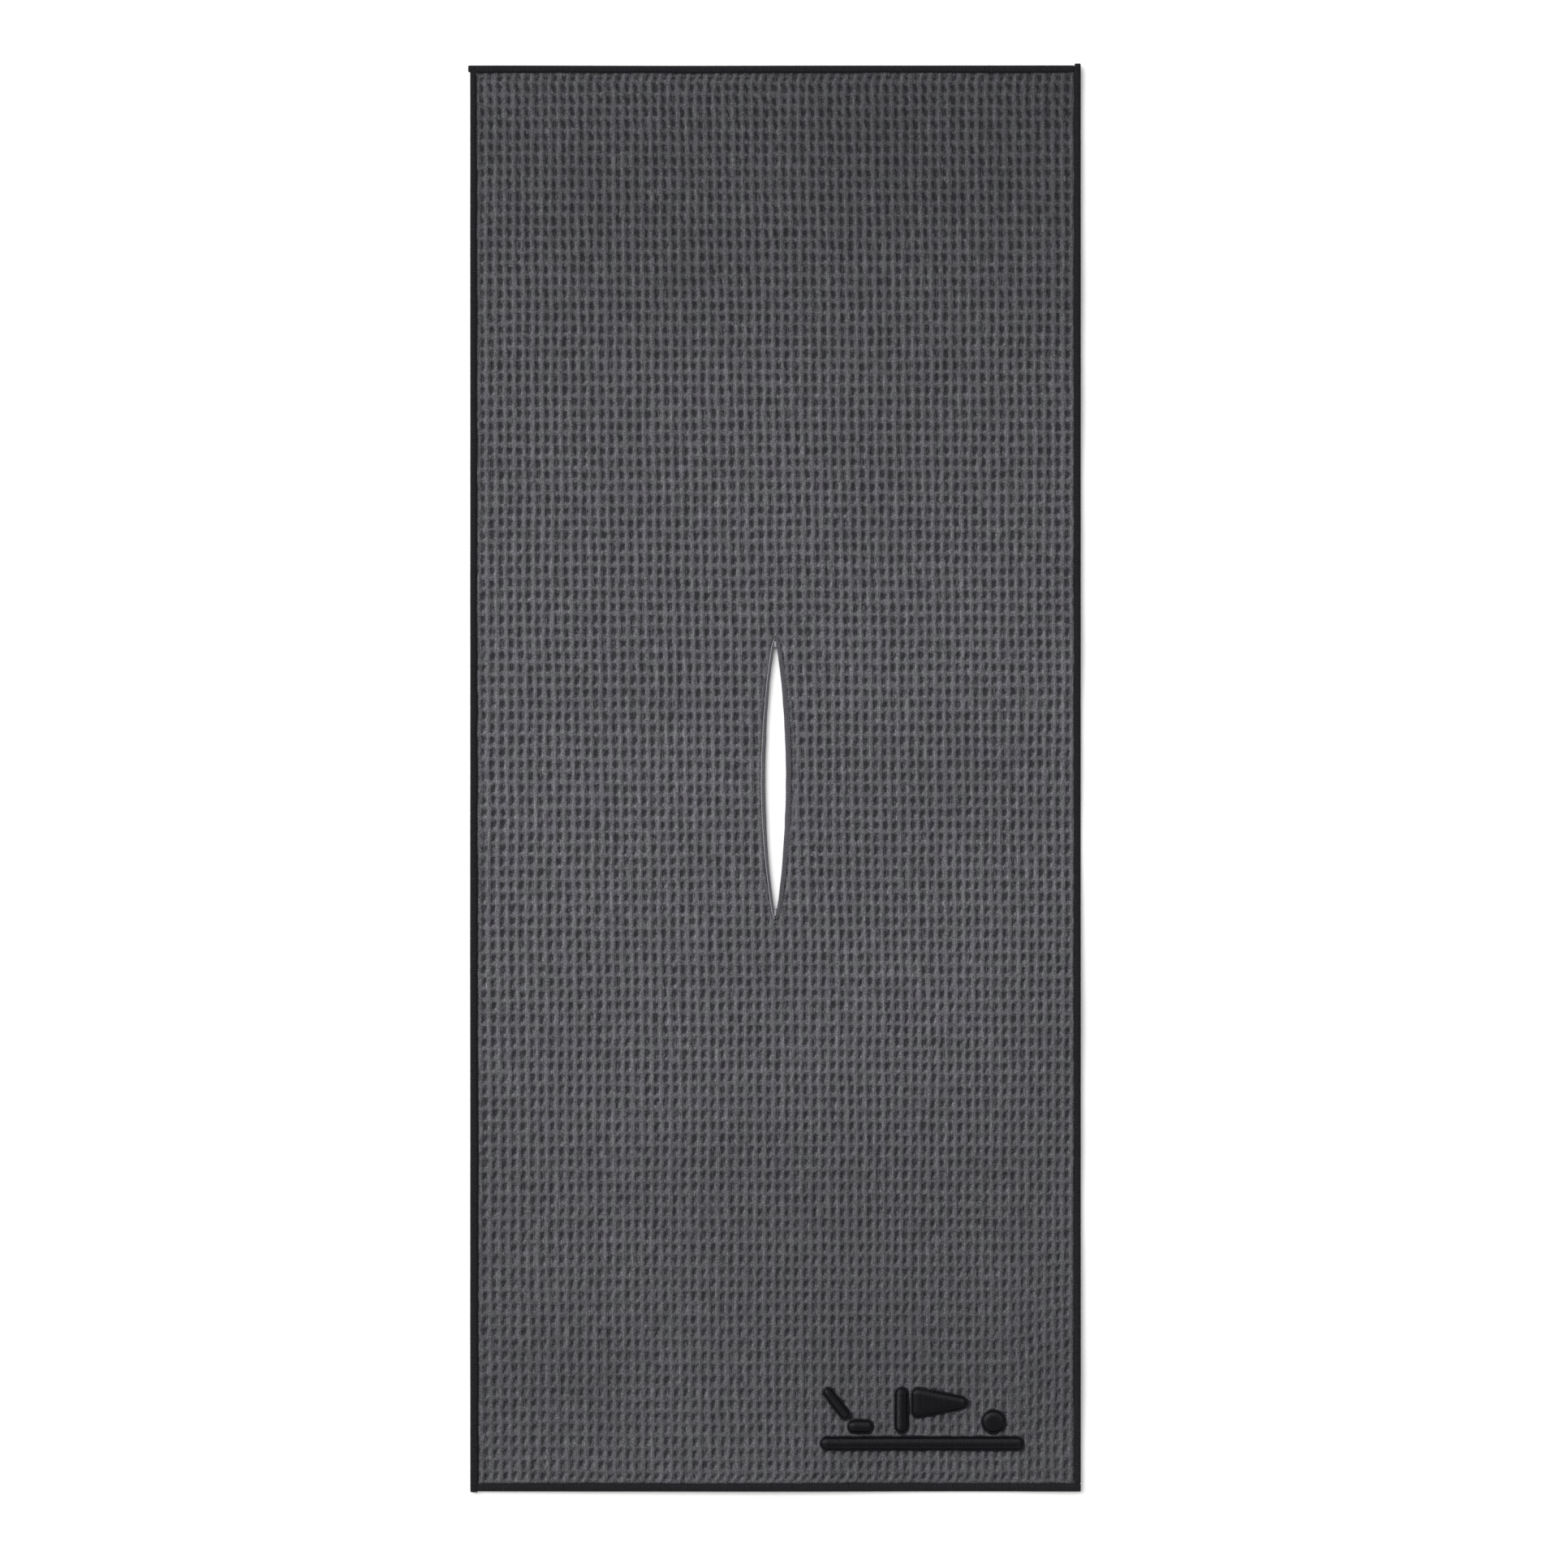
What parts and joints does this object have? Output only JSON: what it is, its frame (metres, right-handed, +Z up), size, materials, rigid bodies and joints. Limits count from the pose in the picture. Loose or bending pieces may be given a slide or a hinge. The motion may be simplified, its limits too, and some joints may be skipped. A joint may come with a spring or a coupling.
{
  "type": "golf towel",
  "caption": "Waffle-weave towel, long and narrow, bound with tape on its edges, with a centre slit that slips over a club and a raised satin golf motif on one corner.",
  "frame": {"origin": "under the middle of the towel's outline, on the surface that it lies on", "axes": "+X across the towel to the right, +Y along the towel to its top edge, +Z up out of its face"},
  "size_m": [0.4364, 1.0178, 0.0057],
  "materials": {
    "cloth": "waffle-woven microfibre, matt, grey",
    "tape": "woven tape, black, slight sheen along the fold",
    "facing": "folded strip of cloth, grey",
    "seam_thread": "twisted polyester thread, black",
    "slit_thread": "twisted polyester thread, light grey",
    "satin": "satin stitch in black rayon thread, soft sheen",
    "foam": "closed-cell embroidery foam, black",
    "backing": "non-woven cut-away backing, black"
  },
  "bodies": {
    "root": {"waffle_panel": "cloth", "top_binding": "tape", "right_binding": "tape", "bottom_binding": "tape", "left_binding": "tape", "top_seam_needle_thread": "seam_thread", "right_seam_needle_thread": "seam_thread", "bottom_seam_needle_thread": "seam_thread", "left_seam_needle_thread": "seam_thread", "top_seam_bobbin_thread": "seam_thread", "right_seam_bobbin_thread": "seam_thread", "bottom_seam_bobbin_thread": "seam_thread", "left_seam_bobbin_thread": "seam_thread", "left_slit_facing": "facing", "right_slit_facing": "facing", "left_slit_seam_needle_thread": "slit_thread", "right_slit_seam_needle_thread": "slit_thread", "left_slit_seam_bobbin_thread": "seam_thread", "right_slit_seam_bobbin_thread": "seam_thread", "top_bar_tack": "slit_thread", "bottom_bar_tack": "slit_thread", "ground_line_satin": "satin", "flag_pin_satin": "satin", "pennant_satin": "satin", "ball_satin": "satin", "club_head_satin": "satin", "club_shaft_satin": "satin", "ground_line_foam": "foam", "flag_pin_foam": "foam", "pennant_foam": "foam", "ball_foam": "foam", "club_head_foam": "foam", "club_shaft_foam": "foam", "embroidery_backing": "backing"}
  },
  "joints": []
}
